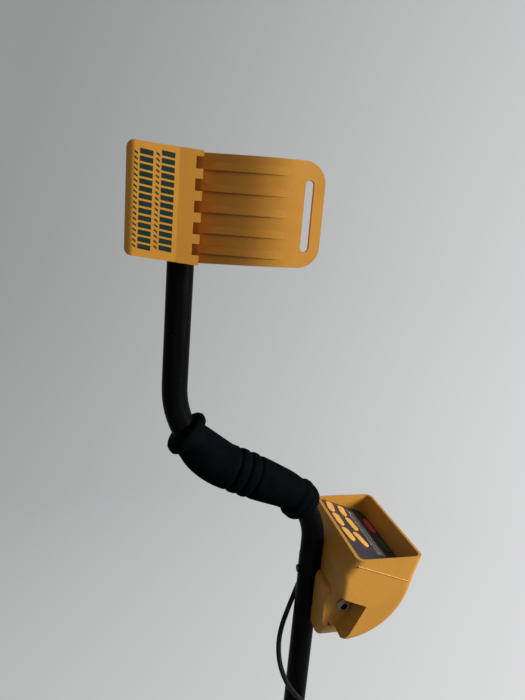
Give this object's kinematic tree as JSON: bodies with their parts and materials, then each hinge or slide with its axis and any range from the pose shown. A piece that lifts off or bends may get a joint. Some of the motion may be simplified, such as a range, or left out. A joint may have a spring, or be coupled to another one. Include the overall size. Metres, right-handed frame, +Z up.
{
  "type": "metal detector",
  "caption": "Upright metal detector: S-bend shaft with foam grip, slotted arm cuff and hooded display box, on a sliding lower shaft and a round tilting search coil.",
  "frame": {"origin": "centre of the search coil's flat sole, on the floor", "axes": "+Z up the shaft towards the arm cuff, +X the side that the display box and the cuff's opening face, and the object is symmetric in shape about the XZ plane"},
  "size_m": [0.294, 0.216, 1.1543],
  "materials": {
    "black_tube": "black anodised and lacquered",
    "black_plastic": "fine moulded grain",
    "grip_foam": "closed-cell foam",
    "bright_metal": "nickel plated",
    "black_screw": "black oxide",
    "fibreglass": "pultruded fibreglass",
    "soft_rubber": "moulded rubber",
    "yellow_plastic": "satin moulded yellow plastic",
    "dark_panel": "printed polycarbonate",
    "clear_window": "clear acrylic",
    "lcd_grey": "unlit grey display",
    "circuit_board": "solder mask",
    "cell_can": "printed jacket",
    "yellow_pad": "soft touch",
    "red_pad": "soft touch",
    "green_pad": "soft touch",
    "cable_jacket": "smooth polyurethane jacket",
    "black_webbing": "hook-and-loop band",
    "coil_plastic": "textured moulding",
    "potted_winding": "enamelled wire in resin"
  },
  "bodies": {
    "shaft": {"s_stem": "black_tube", "stem_end_cap": "black_plastic", "foam_grip": "grip_foam", "middle_stem": "black_tube", "stem_bushing": "black_plastic", "lock_spring": "bright_metal", "lock_collet": "black_plastic", "cuff_saddle": "yellow_plastic", "cuff_cradle": "yellow_plastic", "cuff_bolts": "bright_metal", "cuff_nuts": "bright_metal", "box_body": "yellow_plastic", "box_hood": "yellow_plastic", "control_panel": "dark_panel", "lcd_window": "clear_window", "lcd_module": "lcd_grey", "main_board": "circuit_board", "board_screws": "bright_metal", "speaker": "black_plastic", "battery_holder": "black_plastic", "aa_cells": "cell_can", "headphone_jack": "bright_metal", "jack_nut": "bright_metal", "coil_socket": "bright_metal", "cable_plug": "black_plastic", "plug_boot": "soft_rubber", "box_bracket": "yellow_plastic", "bracket_bolts": "black_screw", "bracket_nuts": "bright_metal", "coil_cable_upper": "cable_jacket"},
    "lower_shaft": {"lower_stem": "fibreglass", "stem_tongue": "black_plastic", "rubber_washers": "soft_rubber", "cable_strap": "black_webbing", "coil_cable_lower": "cable_jacket"},
    "coil": {"coil_top_shell": "coil_plastic", "coil_bottom_shell": "coil_plastic", "transmit_winding": "potted_winding", "receive_winding": "potted_winding", "cable_gland": "soft_rubber", "pivot_bolt": "black_plastic"},
    "wing_nut": {"wing_nut": "black_plastic"},
    "twist_collar": {"twist_collar": "black_plastic"},
    "lock_button": {"lock_button": "bright_metal"},
    "plug_ring": {"plug_ring": "black_plastic"},
    "battery_door": {"battery_door": "yellow_plastic"},
    "yellow_key_1": {"yellow_key_1": "yellow_pad"},
    "yellow_key_2": {"yellow_key_2": "yellow_pad"},
    "yellow_key_3": {"yellow_key_3": "yellow_pad"},
    "yellow_key_4": {"yellow_key_4": "yellow_pad"},
    "yellow_key_5": {"yellow_key_5": "yellow_pad"},
    "yellow_key_6": {"yellow_key_6": "yellow_pad"},
    "red_key": {"red_key": "red_pad"},
    "green_key": {"green_key": "green_pad"}
  },
  "joints": [
    {"name": "shaft_length", "type": "slide", "parent": "shaft", "child": "lower_shaft", "axis": [0, 0, 1], "range_m": [-0.06, 0.14], "deforming": ["coil_cable_upper"]},
    {"name": "coil_tilt", "type": "hinge", "parent": "lower_shaft", "child": "coil", "pos_m": [0, 0, 0.036], "axis": [0, 1, 0], "range_deg": [-70, 70], "deforming": ["coil_cable_lower"]},
    {"name": "wing_nut_spin", "type": "hinge", "parent": "coil", "child": "wing_nut", "pos_m": [0, 0.02, 0.036], "axis": [0, 1, 0], "continuous": true},
    {"name": "collar_twist", "type": "hinge", "parent": "shaft", "child": "twist_collar", "pos_m": [0, 0, 0.336], "axis": [0, 0, 1], "range_deg": [0, 90]},
    {"name": "lock_button_press", "type": "slide", "parent": "shaft", "child": "lock_button", "axis": [0, -1, 0], "range_m": [0, 0.0031], "stiffness_N_per_m": 900, "springref_m": -0.001, "deforming": ["lock_spring"]},
    {"name": "plug_ring_spin", "type": "hinge", "parent": "shaft", "child": "plug_ring", "pos_m": [0.013, 0.021, 0.798], "axis": [1, 0, 0], "continuous": true},
    {"name": "battery_door_open", "type": "hinge", "parent": "shaft", "child": "battery_door", "pos_m": [0.034, 0.0595, 0.75385], "axis": [-1, 0, 0], "range_deg": [0, 100]},
    {"name": "yellow_key_1_press", "type": "slide", "parent": "shaft", "child": "yellow_key_1", "axis": [-0.3453, 0, -0.9385], "range_m": [0, 0.0006], "stiffness_N_per_m": 700, "springref_m": -0.0004},
    {"name": "yellow_key_2_press", "type": "slide", "parent": "shaft", "child": "yellow_key_2", "axis": [-0.3453, 0, -0.9385], "range_m": [0, 0.0006], "stiffness_N_per_m": 700, "springref_m": -0.0004},
    {"name": "yellow_key_3_press", "type": "slide", "parent": "shaft", "child": "yellow_key_3", "axis": [-0.3453, 0, -0.9385], "range_m": [0, 0.0006], "stiffness_N_per_m": 700, "springref_m": -0.0004},
    {"name": "yellow_key_4_press", "type": "slide", "parent": "shaft", "child": "yellow_key_4", "axis": [-0.3453, 0, -0.9385], "range_m": [0, 0.0006], "stiffness_N_per_m": 700, "springref_m": -0.0004},
    {"name": "yellow_key_5_press", "type": "slide", "parent": "shaft", "child": "yellow_key_5", "axis": [-0.3453, 0, -0.9385], "range_m": [0, 0.0006], "stiffness_N_per_m": 700, "springref_m": -0.0004},
    {"name": "yellow_key_6_press", "type": "slide", "parent": "shaft", "child": "yellow_key_6", "axis": [-0.3453, 0, -0.9385], "range_m": [0, 0.0006], "stiffness_N_per_m": 700, "springref_m": -0.0004},
    {"name": "red_key_press", "type": "slide", "parent": "shaft", "child": "red_key", "axis": [-0.3453, 0, -0.9385], "range_m": [0, 0.0006], "stiffness_N_per_m": 700, "springref_m": -0.0004},
    {"name": "green_key_press", "type": "slide", "parent": "shaft", "child": "green_key", "axis": [-0.3453, 0, -0.9385], "range_m": [0, 0.0006], "stiffness_N_per_m": 700, "springref_m": -0.0004}
  ]
}
